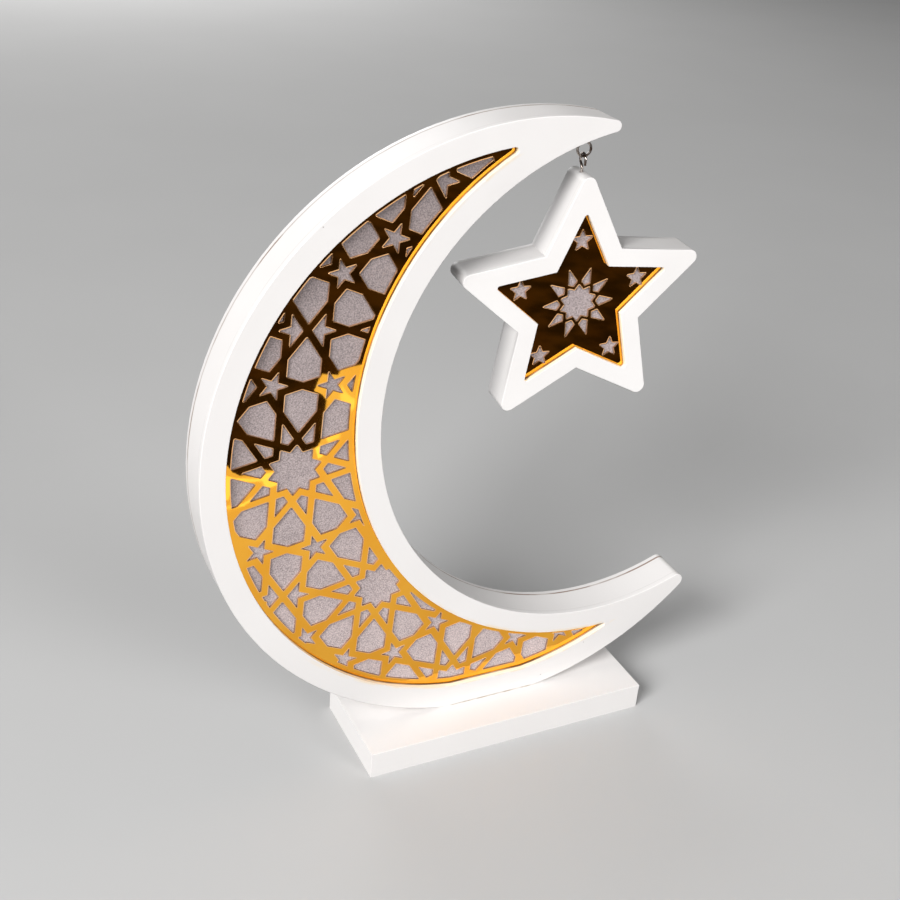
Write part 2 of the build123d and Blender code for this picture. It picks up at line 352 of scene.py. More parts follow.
    def bump(
        self, height: Socket, depth: float, strength: float = 1.0, under: Socket | None = None,
    ) -> Socket:
        """Bumps the surface.

        Args:
            height: height from 0 to 1.
            depth: metres between heights 0 and 1.
            strength: share of the bump that shows.
            under: normal that this one is laid on.

        Returns:
            The bumped normal.
        """
        made = self.node("Bump", strength=strength, distance=depth, height=height)
        if under is not None:
            self.put(made.inputs["Normal"], under)
        return made.outputs["Normal"]


@dataclass(frozen=True, kw_only=True)
class Mark(ABC):
    """A change of colour on paint."""

    color: Color

    @abstractmethod
    def mask(self, sh: Shading, spot: Spot) -> Socket:
        """Share of the mark's colour at a point.

        Args:
            sh: shading under way.
            spot: coordinates of the point.

        Returns:
            The share, from 0 to 1.
        """


@dataclass(frozen=True, kw_only=True)
class SeamLine(Mark):
    """Line at one depth: on the boards a bare or filled joint that shows through the paint, on a window's
    wall painted shade where the wall meets the gold sheet.
    """

    depth: float
    half_width: float
    strength: float
    least: float = 0.05
    core: float = 0.4
    wear_per_metre: float = 38.0
    wear_band: Pair = (0.40, 0.60)

    def mask(self, sh: Shading, spot: Spot) -> Socket:
        """Share of the line's colour at a point.

        Args:
            sh: shading under way.
            spot: coordinates of the point.

        Returns:
            The share, from 0 to 1.
        """
        off = sh.off(spot.depth, self.depth)
        line = sh.spread(off, self.core * self.half_width, self.half_width, self.strength, 0.0)
        wear = sh.noise(spot.place, self.wear_per_metre, detail=3)
        return sh.product(line, sh.spread(wear, *self.wear_band, self.least, 1.0))


class Axis(Enum):
    """Coordinates of a spot that a line can keep to."""

    DEPTH = "depth"
    HEIGHT = "up"


@dataclass(frozen=True, kw_only=True)
class FootLine(Mark):
    """Beige line where the moon meets the block: painted contact shade along the joint."""

    axis: Axis
    place: float
    color: Color = (0.40, 0.315, 0.225)
    half_width: float = 0.55 * MM
    core: float = 0.3
    strength: float = 0.85
    reach: Pair = (-27 * MM, 30 * MM)
    run_out: float = 3 * MM
    patches_per_metre: float = 160.0
    patch_band: Pair = (0.36, 0.6)
    least: float = 0.25

    def mask(self, sh: Shading, spot: Spot) -> Socket:
        """Share of the line's colour at a point.

        Args:
            sh: shading under way.
            spot: coordinates of the point.

        Returns:
            The share, from 0 to 1.
        """
        off = sh.off(getattr(spot, self.axis.value), self.place)
        line = sh.spread(off, self.core * self.half_width, self.half_width, self.strength, 0.0)
        cloud = sh.noise(sh.flat(spot.across, spot.up), self.patches_per_metre, detail=3)
        patch = sh.spread(cloud, *self.patch_band, self.least, 1.0)
        low, high = self.reach
        start = sh.spread(spot.across, low, low + self.run_out)
        end = sh.spread(spot.across, high - self.run_out, high, 1.0, 0.0)
        return sh.product(line, patch, start, end)


@dataclass(frozen=True, kw_only=True)
class Scorch(Mark):
    """Pale scorch beside the inner edge of the moon's window, strongest at its tips, and along its sill."""

    color: Color = (0.80, 0.56, 0.22)
    width: float = 2.2 * MM
    core: float = 0.1
    strength: float = 0.5
    tips: Pair = (0.55, 0.88)
    middle_share: float = 0.12
    sill_strength: float = 0.4
    sill_width: float = 0.7
    sill_heights: Pair = (45 * MM, 80 * MM)
    patches_per_metre: float = 110.0
    patch_band: Pair = (0.38, 0.62)
    least: float = 0.1

    def mask(self, sh: Shading, spot: Spot) -> Socket:
        """Share of the scorch's colour at a point.

        Args:
            sh: shading under way.
            spot: coordinates of the point.

        Returns:
            The share, from 0 to 1.
        """
        width, core = self.width, self.core * self.width
        radius = LAYOUT.bite_radius + LAYOUT.moon_border
        inner = sh.past(spot, LAYOUT.bite_centre, radius)
        outer = sh.past(spot, LAYOUT.moon_centre, LAYOUT.moon_radius - LAYOUT.moon_border)
        lower = sh.past(spot, LAYOUT.low_arc_centre, LAYOUT.low_arc_radius)
        within = sh.spread(sh.math("MAXIMUM", outer, lower), -2 * width, -width, self.strength, 0.0)
        along = sh.spread(sh.math("ABSOLUTE", inner), core, width, 1.0, 0.0)
        near, far = (share * radius for share in self.tips)
        tips = sh.spread(sh.off(spot.up, LAYOUT.bite_centre[1]), near, far, self.middle_share, 1.0)
        below = sh.math("MAXIMUM", lower, sh.math("SUBTRACT", LAYOUT.window_floor_z, spot.up))
        sill = sh.spread(sh.math("ABSOLUTE", below), core, self.sill_width * width, self.sill_strength, 0.0)
        beyond = sh.spread(inner, -0.5 * width, 0.5 * width)
        low = sh.spread(spot.up, *self.sill_heights, 1.0, 0.0)
        cloud = sh.noise(sh.flat(spot.across, spot.up), self.patches_per_metre, detail=3)
        patch = sh.spread(cloud, *self.patch_band, self.least, 1.0)
        edges = sh.math("MAXIMUM", sh.product(within, along, tips), sh.product(sill, beyond, low))
        return sh.product(patch, edges)


@dataclass(frozen=True, kw_only=True)
class PaintedWallShade(Mark):
    """Painted shade on the side faces: darker towards the back, and evenly darker on those that look up."""

    color: Color = (0.445, 0.433, 0.428)
    depths: Pair = (-7 * MM, 9 * MM)
    level_rise: Pair = (0.6, 0.9)
    level_share: float = 0.42
    front_shares: Pair = (0.3, 0.8)

    def mask(self, sh: Shading, spot: Spot) -> Socket:
        """Share of the painted shade at a point.

        Args:
            sh: shading under way.
            spot: coordinates of the point.

        Returns:
            The share, from 0 to 1.
        """
        _, _, rise = sh.normal()
        level = sh.spread(rise, *self.level_rise)
        slanted = sh.product(sh.spread(spot.depth, *self.depths), sh.math("SUBTRACT", 1.0, level))
        painted_shade = sh.math("ADD", slanted, sh.product(level, self.level_share))
        return sh.product(painted_shade, sh.facing(self.front_shares, 1.0, 0.0))


@dataclass(frozen=True, kw_only=True)
class PaintedShadeLow(Mark):
    """Painted shade: slightly darker paint low on the moon's front, fading out upwards."""

    color: Color = (0.695, 0.674, 0.662)
    heights: Pair = (24 * MM, 78 * MM)

    def mask(self, sh: Shading, spot: Spot) -> Socket:
        """Share of the painted shade at a point."""
        return sh.spread(spot.up, *self.heights, 1.0, 0.0)


@dataclass(frozen=True, kw_only=True)
class PaintedLightOnEnds(Mark):
    """Painted light: the faces that look along the block are painted lighter."""

    color: Color = (0.86, 0.832, 0.814)
    side_shares: Pair = (0.75, 0.95)

    def mask(self, sh: Shading, spot: Spot) -> Socket:
        """Share of the painted light at a point."""
        side, _, _ = sh.normal()
        return sh.spread(sh.math("ABSOLUTE", side), *self.side_shares)


@dataclass(frozen=True, kw_only=True)
class Specks(Mark):
    """Sparse dust specks on the faces that look to the front or back."""

    color: Color = (0.30, 0.27, 0.25)
    cells_per_metre: float = 30.0
    radius: float = 0.42 * MM
    core: float = 0.5
    skipped: float = 0.62
    strength: float = 0.75
    front_shares: Pair = (0.88, 0.92)

    def mask(self, sh: Shading, spot: Spot) -> Socket:
        """Share of the specks' colour at a point.

        Args:
            sh: shading under way.
            spot: coordinates of the point.

        Returns:
            The share, from 0 to 1.
        """
        plane, scale = sh.flat(spot.across, spot.up), self.cells_per_metre
        cells = sh.node("TexVoronoi", {"voronoi_dimensions": "2D"}, vector=plane, scale=scale)
        radius = self.radius * scale
        near = sh.spread(cells.outputs["Distance"], self.core * radius, radius, 1.0, 0.0)
        chance, _, _ = sh.split(cells.outputs["Color"])
        kept = sh.math("GREATER_THAN", chance, self.skipped)
        return sh.product(near, kept, sh.facing(self.front_shares, 0.0, self.strength))


@dataclass(frozen=True)
class Finish(ABC):
    """A surface finish that makes its own node material."""

    name: str

    @abstractmethod
    def material(self) -> bpy.types.Material:
        """Makes the material."""


@dataclass(frozen=True)
class SatinPaint(Finish):
    """White satin paint on sanded fibreboard, with its marks and specks."""

    color: Color = (0.756, 0.732, 0.719)
    shade: Color = (0.734, 0.710, 0.696)
    marks: tuple[Mark, ...] = ()
    specks: Mark = Specks()
    turned: bool = False
    clouds_per_metre: float = 16.0
    cloud_band: Pair = (0.35, 0.75)
    roughness: Pair = (0.36, 0.5)
    gloss_per_metre: float = 40.0
    gloss_band: Pair = (0.3, 0.7)
    grains_per_metre: float = 900.0
    grain_depth: float = 0.03 * MM
    dimples_per_metre: float = 260.0
    dimple_depth: float = 0.05 * MM

    def material(self) -> bpy.types.Material:
        """Makes the material.

        Returns:
            The new material.
        """
        sh = Shading(self.name)
        spot = sh.spot(self.turned)
        cloud = sh.noise(spot.place, self.clouds_per_metre, detail=4)
        color = sh.mix(sh.spread(cloud, *self.cloud_band), self.color, self.shade)
        for mark in (*self.marks, self.specks):
            color = sh.mix(mark.mask(sh, spot), color, mark.color)
        gloss = sh.noise(spot.place, self.gloss_per_metre, detail=3)
        grain = sh.noise(spot.place, self.grains_per_metre, detail=3, roughness=0.6)
        dimples = sh.bump(sh.noise(spot.place, self.dimples_per_metre), self.dimple_depth, strength=0.35)
        sh.surface(
            base_color=color,
            roughness=sh.spread(gloss, *self.gloss_band, *self.roughness),
            normal=sh.bump(grain, self.grain_depth, strength=0.5, under=dimples),
        )
        return sh.material


@dataclass(frozen=True)
class WindowPaintedLight(SatinPaint):
    """Painted light on a window's wall: paler and creamier than the other paint, with a dark line of
    painted shade where the wall meets the gold sheet.
    """

    color: Color = (0.90, 0.86, 0.77)
    shade: Color = (0.88, 0.81, 0.64)
    # The line here is painted shade at the foot of the wall.
    marks: tuple[Mark, ...] = (
        SeamLine(
            depth=LAYOUT.front_seam_y,
            half_width=1.15 * MM,
            color=(0.055, 0.028, 0.010),
            strength=0.95,
            least=0.7,
        ),
    )


@dataclass(frozen=True)
class GoldFoil(Finish):
    """Gold mirror film on card, with soft waves, tiny scuffs and handling smudges."""

    color: Color = (0.98, 0.475, 0.052)
    deep: Color = (0.94, 0.425, 0.040)
    roughness: Pair = (0.02, 0.05)
    tints_per_metre: float = 45.0
    smudges_per_metre: float = 60.0
    smudge_band: Pair = (0.42, 0.72)
    waves_per_metre: float = 24.0
    wave_depth: float = 0.05 * MM
    scuffs_per_metre: float = 700.0
    scuff_depth: float = 0.002 * MM

    def material(self) -> bpy.types.Material:
        """Makes the material.

        Returns:
            The new material.
        """
        sh = Shading(self.name)
        where = sh.place()
        tint = sh.spread(sh.noise(where, self.tints_per_metre, detail=3), *CLOUD_BAND)
        smudge = sh.noise(where, self.smudges_per_metre, detail=4, roughness=0.6)
        waves = sh.bump(sh.noise(where, self.waves_per_metre, detail=1), self.wave_depth, strength=0.6)
        scuffs = sh.noise(where, self.scuffs_per_metre, detail=3, roughness=0.65)
        sh.surface(
            base_color=sh.mix(tint, self.color, self.deep),
            metallic=1.0,
            roughness=sh.spread(smudge, *self.smudge_band, *self.roughness),
            normal=sh.bump(scuffs, self.scuff_depth, strength=0.25, under=waves),
        )
        return sh.material


@dataclass(frozen=True)
class PressedRim(GoldFoil):
    """Gold film dulled by the cutter, round each hole."""

    color: Color = (1.0, 0.60, 0.30)
    deep: Color = (1.0, 0.53, 0.23)
    roughness: Pair = (0.20, 0.27)


@dataclass(frozen=True)
class CutCard(Finish):
    """Bare brown edge where the gold card was cut."""

    color: Color = (0.36, 0.185, 0.100)
    dark: Color = (0.20, 0.100, 0.052)
    roughness: Pair = (0.55, 0.75)
    patches_per_metre: float = 300.0
    fibres_per_metre: float = 1800.0
    fibre_depth: float = 0.03 * MM

    def material(self) -> bpy.types.Material:
        """Makes the material.

        Returns:
            The new material.
        """
        sh = Shading(self.name)
        where = sh.place()
        patch = sh.spread(sh.noise(where, self.patches_per_metre, detail=3), *CLOUD_BAND)
        sh.surface(
            base_color=sh.mix(patch, self.color, self.dark),
            roughness=sh.spread(patch, 0.0, 1.0, *self.roughness),
            normal=sh.bump(sh.noise(where, self.fibres_per_metre), self.fibre_depth, strength=0.5),
        )
        return sh.material


@dataclass(frozen=True)
class GreyFoam(Finish):
    """Craft foam with a fine salt and pepper grain, and painted light that can make it lighter at one
    height than at another.
    """

    light: Color = (0.54, 0.446, 0.436)
    dark: Color = (0.164, 0.138, 0.141)
    roughness: Pair = (0.95, 0.75)
    grains_per_metre: float = 1700.0
    grain_depth: float = 0.12 * MM
    grain_share: float = 0.85
    clouds_per_metre: float = 30.0
    band: Pair = (0.3, 0.7)
    heights: Pair = (30 * MM, 310 * MM)
    shares: Pair = (1.0, 1.0)

    def material(self) -> bpy.types.Material:
        """Makes the material.

        Returns:
            The new material.
        """
        sh = Shading(self.name)
        where = sh.place()
        grain = sh.noise(where, self.grains_per_metre, detail=3, roughness=0.7)
        cloud = sh.noise(where, self.clouds_per_metre, detail=3)
        share = sh.math(
            "ADD",
            sh.spread(grain, *self.band, 0.0, self.grain_share),
            sh.spread(cloud, *self.band, 0.0, 1.0 - self.grain_share),
        )
        # Painted light: the colour is scaled by height.
        _, _, up = sh.split(where)
        level = sh.spread(up, *self.heights, *self.shares, smooth=False)
        speckle = sh.mix(share, self.dark, self.light)
        grey_with_painted_light = sh.node("VectorMath", {"operation": "SCALE"}, vector=speckle, scale=level)
        sh.surface(
            base_color=grey_with_painted_light.outputs["Vector"],
            roughness=sh.spread(grain, *self.band, *self.roughness),
            normal=sh.bump(grain, self.grain_depth, strength=0.7),
        )
        return sh.material


@dataclass(frozen=True)
class ZincSteel(Finish):
    """Bright zinc-plated steel wire with drawing lines, its colour darkened and browned with dark patches
    as painted dark reflection.
    """

    color: Color = (0.58, 0.52, 0.48)
    painted_dark_reflection: Color = (0.10, 0.068, 0.052)
    roughness: Pair = (0.08, 0.30)
    patches_per_metre: float = 420.0
    patch_band: Pair = (0.36, 0.58)
    lines_per_metre: float = 2600.0
    line_depth: float = 0.01 * MM

    def material(self) -> bpy.types.Material:
        """Makes the material.

        Returns:
            The new material.
        """
        sh = Shading(self.name)
        where = sh.place()
        patch = sh.spread(sh.noise(where, self.patches_per_metre, detail=3), *self.patch_band)
        sh.surface(
            base_color=sh.mix(patch, self.color, self.painted_dark_reflection),
            metallic=1.0,
            roughness=sh.spread(patch, 0.0, 1.0, *self.roughness),
            normal=sh.bump(sh.noise(where, self.lines_per_metre), self.line_depth, strength=0.4),
        )
        return sh.material


@dataclass(frozen=True)
class Paper(Finish):
    """Matt studio paper for the floor and the dark card."""

    color: Color = (0.504, 0.502, 0.499)
    shade: Color = (0.497, 0.495, 0.492)
    clouds_per_metre: float = 5.0

    def material(self) -> bpy.types.Material:
        """Makes the material.

        Returns:
            The new material.
        """
        sh = Shading(self.name)
        cloud = sh.spread(sh.noise(sh.place(), self.clouds_per_metre, detail=3), *CLOUD_BAND)
        sh.surface(
            base_color=sh.mix(cloud, self.color, self.shade),
            roughness=1.0,
            specular_ior_level=0.0,
        )
        return sh.material


@dataclass(frozen=True)
class GlowingCard(Finish):
    """Glowing card, no lamp, that paints a bright reflection in the gold: even, or growing dim over a run
    of depths.
    """

    bright: float
    dim: float
    run: Pair | None = None
    clouds_per_metre: float = 9.0
    cloud_share: float = 0.08

    def material(self) -> bpy.types.Material:
        """Makes the material.

        Returns:
            The new material.
        """
        sh = Shading(self.name)
        where = sh.place()
        share = sh.spread(sh.noise(where, self.clouds_per_metre), *CLOUD_BAND)
        if self.run:
            _, depth, _ = sh.split(where)
            fall = sh.spread(depth, *self.run, 0.0, 1.0 - self.cloud_share)
            share = sh.math("ADD", fall, sh.product(share, self.cloud_share))
        sh.surface(
            base_color=(0.0, 0.0, 0.0),
            emission_color=sh.mix(share, (self.bright,) * 3, (self.dim,) * 3),
            emission_strength=1.0,
            roughness=1.0,
        )
        return sh.material


def finished(
    mesh_maker: bmesh.types.BMesh, name: str, body: Body, finishes: tuple[Finish, ...],
) -> bpy.types.Object:
    """Turns a bmesh into a piece that rides on a body.

    Args:
        mesh_maker: finished bmesh, which is freed.
        name: name of the piece.
        body: body that it moves with.
        finishes: finishes that it wears, by material index.

    Returns:
        The new object.
    """
    mesh = bpy.data.meshes.new(name)
    mesh_maker.to_mesh(mesh)
    mesh_maker.free()
    piece = bpy.data.objects.new(name, mesh)
    bpy.context.scene.collection.objects.link(piece)
    for finish in finishes:
        mesh.materials.append(finish.material())
    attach(piece, body.value)
    LOG.info("piece %s on %s in %s", name, body.value, ", ".join(finish.name for finish in finishes))
    return piece


def wear(node: str, finish: Finish) -> None:
    """Gives a CAD node a finish.

    Args:
        node: name of the node.
        finish: finish that it wears.
    """
    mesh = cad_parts[node].data
    mesh.materials.clear()
    mesh.materials.append(finish.material())
    LOG.info("node %s in %s", node, finish.name)


@dataclass
class Board:
    """One painted board: a merged copy of its solid with eased outlines and even normals."""

    node: str
    name: str
    body: Body
    slot: Slot
    finish: Finish
    turn: float = 0.0
    ease: float = 0.0
    ease_depths: tuple[float, ...] = ()
    ease_segments: int = 3
    further: tuple[Finish, ...] = ()
    sharp_angle: float = radians(50)
    corner_angle: float = radians(60)
    flat_angle: float = radians(0.05)
    same_place: float = 0.002 * MM
    same_depth: float = 0.02 * MM

    def depth(self, spot: Vector) -> float:
        """Depth of a point behind the front, read along the board's own thickness."""
        off = spot - LAYOUT.hang
        return LAYOUT.hang.y + off.y * cos(self.turn) - off.x * sin(self.turn)

    def at(self, vert: bmesh.types.BMVert, depth: float) -> bool:
        """Whether a vertex lies at a depth."""
        return abs(self.depth(vert.co) - depth) < self.same_depth

    @property
    def forward(self) -> Vector:
        """Direction that the board's front looks to."""
        return Vector((sin(self.turn), -cos(self.turn), 0.0))

    def outlines(self, bm: bmesh.types.BMesh) -> list[bmesh.types.BMEdge]:
        """Corner edges that lie at the depths to be eased.

        Args:
            bm: mesh of the board.

        Returns:
            The edges.
        """
        inside = [e for e in bm.edges if len(e.link_faces) == 2]
        corners = [e for e in inside if e.calc_face_angle(0.0) > self.corner_angle]
        return [e for e in corners if any(all(self.at(v, d) for v in e.verts) for d in self.ease_depths)]

    def shape(self, bm: bmesh.types.BMesh) -> None:
        """Rounds the outlines.

        Args:
            bm: mesh of the board.
        """
        bmesh.ops.bevel(
            bm, geom=self.outlines(bm), offset=self.ease, offset_type="OFFSET", segments=self.ease_segments,
            profile=0.5, affect="EDGES", material=-1, clamp_overlap=False,
        )

    def mark(self, bm: bmesh.types.BMesh) -> None:
        """Hands faces to the further finishes; a plain board has none."""

    def source(self) -> bmesh.types.BMesh:
        """Merged copy of the CAD node's mesh, with flat areas joined.

        Returns:
            The mesh.
        """
        bm = bmesh.new()
        bm.from_mesh(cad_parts[self.node].data)
        bmesh.ops.remove_doubles(bm, verts=bm.verts[:], dist=self.same_place)
        bmesh.ops.dissolve_limit(
            bm, angle_limit=self.flat_angle, verts=bm.verts[:], edges=bm.edges[:],
            use_dissolve_boundaries=False, delimit=set(),
        )
        return bm

    def mesh(self) -> bmesh.types.BMesh:
        """Shape of the piece.

        Returns:
            The mesh.
        """
        bm = self.source()
        if self.ease:
            self.shape(bm)
        return bm

    def build(self) -> bpy.types.Object:
        """Builds the board over its CAD node.

        Returns:
            The piece that stands for the node.
        """
        bm = self.mesh()
        for face in bm.faces:
            face.smooth = True
        for edge in bm.edges:
            edge.smooth = edge.calc_face_angle(pi) < self.sharp_angle
        bm.normal_update()
        self.mark(bm)
        piece = finished(bm, self.name, self.body, (self.finish, *self.further))
        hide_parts(self.node)
        even = piece.modifiers.new("even_normals", "WEIGHTED_NORMAL")
        even.keep_sharp = True
        return piece


@dataclass
class WindowBoard(Board):
    """A front panel whose window wall wears its own finish."""

    wall_share: float = 0.5

    def mark(self, bm: bmesh.types.BMesh) -> None:
        """Gives the smaller of the two rings of side faces the second finish.

        Args:
            bm: mesh of the panel.
        """
        walls = {face for face in bm.faces if abs(face.normal.dot(self.forward)) < self.wall_share}
        rings: list[set[bmesh.types.BMFace]] = []
        while walls:
            ring, reach = set(), [walls.pop()]
            while reach:
                face = reach.pop()
                ring.add(face)
                for near in {f for e in face.edges for f in e.link_faces} & walls:
                    walls.remove(near)
                    reach.append(near)
            rings.append(ring)
        for face in min(rings, key=lambda ring: sum(f.calc_area() for f in ring)):
            face.material_index = 1


class SheetFace(Enum):
    """Faces of a pierced sheet, by material index."""

    RIM = 1
    CUT = 2


@dataclass
class PiercedSheet(Board):
    """A gold sheet with blunt hole corners, a narrow pressed rim round each hole and bare cut edges."""

    rim: Pair = (0.22 * MM, 0.52 * MM)
    slope: Pair = (0.12, 0.26)
    pressed_most: Pair = (-0.60, 0.80)
    mitre_limit: float = 0.5
    front_share: float = 0.99
    sharp_angle: float = radians(4)
    tip_turn: float = radians(105)
    corner_turn: float = radians(25)
    blunt_tip: float = 0.95 * MM
    blunt_corner: float = 0.42 * MM
    blunt_share: float = 0.45
    rounds: int = 4

    def flat(self, spot: Vector) -> Vector:
        """Place of a point in the sheet's own plane, across and up."""
        off = spot - LAYOUT.hang
        return Vector((off.x * cos(self.turn) + off.y * sin(self.turn), off.z))

    def solid(self, spot: Vector, depth: float) -> Vector:
        """Point in space from its place in the sheet's plane and its depth.

        Args:
            spot: place in the plane, across and up.
            depth: depth behind the front.

        Returns:
            The point.
        """
        across = Vector((cos(self.turn), sin(self.turn), 0.0))
        up = Vector((0.0, 0.0, 1.0))
        return LAYOUT.hang + spot.x * across + spot.y * up - (depth - LAYOUT.hang.y) * self.forward

    def rings(self, bm: bmesh.types.BMesh) -> list[list[Vector]]:
        """Closed outlines of the sheet's front, each with the sheet on its left.

        Args:
            bm: merged mesh of the sheet.

        Returns:
            The outlines in the sheet's own plane.
        """
        links: dict[bmesh.types.BMVert, bmesh.types.BMVert] = {}
        for face in bm.faces:
            if face.normal.dot(self.forward) < self.front_share:
                continue
            for loop in face.loops:
                others = [f for f in loop.edge.link_faces if f is not face]
                if others and others[0].normal.dot(self.forward) < self.front_share:
                    links[loop.vert] = loop.link_loop_next.vert
        found = []
        while links:
            first, after = links.popitem()
            ring = [first]
            while after is not first:
                ring.append(after)
                after = links.pop(after)
            found.append([self.flat(vert.co) for vert in ring])
        return found

    def blunted(self, ring: list[Vector]) -> list[Vector]:
        """Rounds the corners of an outline, most where a hole runs out to a tip.

        Args:
            ring: closed outline.

        Returns:
            The rounded outline.
        """
        out = []
        for before, spot, after in zip(ring[-1:] + ring[:-1], ring, ring[1:] + ring[:1]):
            turn = (spot - before).angle(after - spot)
            if turn < self.corner_turn:
                out.append(spot)
                continue
            back, ahead = before - spot, after - spot
            wanted = self.blunt_tip if turn > self.tip_turn else self.blunt_corner
            cut = min(wanted, self.blunt_share * back.length, self.blunt_share * ahead.length)
            start, end = spot + back.normalized() * cut, spot + ahead.normalized() * cut
            for step in range(self.rounds + 1):
                t = step / self.rounds
                out.append(start * (1 - t) ** 2 + spot * 2 * t * (1 - t) + end * t ** 2)
        return out

    def pressing(self, ring: list[Vector]) -> list[tuple[Vector, float]]:
        """Pressed rim beside an outline, widest and steepest at the upper left of a hole.

        Args:
            ring: closed outline with the sheet on its left.

        Returns:
            For each point, the rim's inner point and how far the edge is pressed down.
        """
        out = []
        for before, spot, after in zip(ring[-1:] + ring[:-1], ring, ring[1:] + ring[:1]):
            first, second = (spot - before).normalized(), (after - spot).normalized()
            along = first + second
            left = Vector((-along.y, along.x)).normalized()
            share = (0.5 + 0.5 * left.dot(Vector(self.pressed_most))) ** 2
            width, slope = (low + (high - low) * share for low, high in (self.rim, self.slope))
            mitre = max(self.mitre_limit, left.dot(Vector((-first.y, first.x))))
            out.append((spot + left * width / mitre, width * slope))
        return out

    def closed(
        self, bm: bmesh.types.BMesh, row: list[bmesh.types.BMVert],
    ) -> list[bmesh.types.BMEdge]:
        """Edges that close a row of vertices, made where they are missing.

        Args:
            bm: mesh of the sheet.
            row: vertices round an outline.

        Returns:
            The edges.
        """
        return [bm.edges.get(ends) or bm.edges.new(ends) for ends in zip(row, row[1:] + row[:1])]

    def pulled(
        self, bm: bmesh.types.BMesh, row: list[bmesh.types.BMVert], places: list[Vector], kind: SheetFace,
    ) -> list[bmesh.types.BMVert]:
        """Extrudes a closed row of vertices to new places.

        Args:
            bm: mesh of the sheet.
            row: vertices round an outline.
            places: where the copy of each vertex goes.
            kind: kind of the new faces.

        Returns:
            The new row.
        """
        made = bmesh.ops.extrude_edge_only(bm, edges=self.closed(bm, row))["geom"]
        for face in (item for item in made if isinstance(item, bmesh.types.BMFace)):
            face.material_index = kind.value
        new = {item for item in made if isinstance(item, bmesh.types.BMVert)}
        copies = [next(e.other_vert(v) for e in v.link_edges if e.other_vert(v) in new) for v in row]
        for copy, place in zip(copies, places):
            copy.co = place
        return copies

    def mesh(self) -> bmesh.types.BMesh:
        """Sheet rebuilt from its outlines.

        Returns:
            The mesh.
        """
        source = self.source()
        front = min(self.depth(vert.co) for vert in source.verts)
        back = max(self.depth(vert.co) for vert in source.verts)
        outlines = [self.blunted(ring) for ring in self.rings(source)]
        source.free()
        bm = bmesh.new()
        front_edges, back_edges = [], []
        for ring in outlines:
            rims = self.pressing(ring)
            pressed = [self.solid(spot, front + down) for spot, (_, down) in zip(ring, rims)]
            inner_row = [bm.verts.new(self.solid(inner, front)) for inner, _ in rims]
            edge_row = self.pulled(bm, inner_row, pressed, SheetFace.RIM)
            back_row = self.pulled(bm, edge_row, [self.solid(spot, back) for spot in ring], SheetFace.CUT)
            front_edges += self.closed(bm, inner_row)
            back_edges += self.closed(bm, back_row)
        for edges in (front_edges, back_edges):
            bmesh.ops.triangle_fill(
                bm, use_beauty=True, use_dissolve=False, edges=edges, normal=self.forward,
            )
        bmesh.ops.recalc_face_normals(bm, faces=bm.faces[:])
        return bm


@dataclass
class Block(Board):
    """The block, with its broken edges drawn tighter than the solid's."""

    reach: Point = (81 * MM, 29.5 * MM, 15 * MM)
    loose: float = 0.6 * MM
    tight: float = 0.25 * MM

    def mesh(self) -> bmesh.types.BMesh:
        """Shape of the block.

        Returns:
            The mesh.
        """
        bm = self.source()
        for vert in bm.verts:
            for axis, edge in enumerate(self.reach):
                if abs(abs(vert.co[axis]) - (edge - self.loose)) < self.same_depth:
                    vert.co[axis] = (edge - self.tight) * (1.0 if vert.co[axis] > 0.0 else -1.0)
        return bm


@dataclass
class Base:
    """The block that everything stands on and the screws from below."""

    paint: Finish = SatinPaint(
        "base_satin",
        color=(0.765, 0.741, 0.727),
        shade=(0.745, 0.720, 0.706),
        # Painted light on the block's ends, and painted contact shade along the moon's front.
        marks=(PaintedLightOnEnds(), FootLine(axis=Axis.DEPTH, place=LAYOUT.front_y)),
    )
    steel: Finish = ZincSteel("screw_zinc")

    def build(self) -> None:
        """Builds the block and dresses the screws."""
        Block("base_block", "base_board", Body.STAND, Slot.BASE_PAINT, self.paint).build()
        self.dress()

    def dress(self) -> None:
        """Gives the screws their finish."""
        wear("base_screws", self.steel)


@dataclass
class Plaque:
    """A flat ornament in layers: windowed front panel, gold sheet, foam, core and back panel."""

    stem: str
    body: Body
    sheet: str
    front: Finish
    sides: Finish
    window: Finish
    foam: Finish
    turn: float = 0.0
    window_ease: float = 0.2 * MM

    def build(self) -> None:
        """Builds the boards and the gold sheet, and dresses the foam."""
        stem, body, turn = self.stem, self.body, self.turn
        WindowBoard(
            f"{stem}_front_panel", f"{stem}_front_board", body, Slot.PAINT, self.front, turn=turn,
            ease=self.window_ease, ease_depths=(LAYOUT.front_y,), further=(self.window,),
        ).build()
        for node, name in (("core", "core_board"), ("back_panel", "back_board")):
            Board(f"{stem}_{node}", f"{stem}_{name}", body, Slot.PAINT, self.sides, turn=turn).build()
        PiercedSheet(
            f"{stem}_lattice", self.sheet, body, Slot.GOLD, GoldFoil(f"{stem}_gold_foil"), turn=turn,
            further=(PressedRim(f"{stem}_gold_rim"), CutCard(f"{stem}_gold_cut")),
        ).build()
        self.dress()

    def dress(self) -> None:
        """Gives the foam its finish."""
        wear(f"{self.stem}_backing", self.foam)


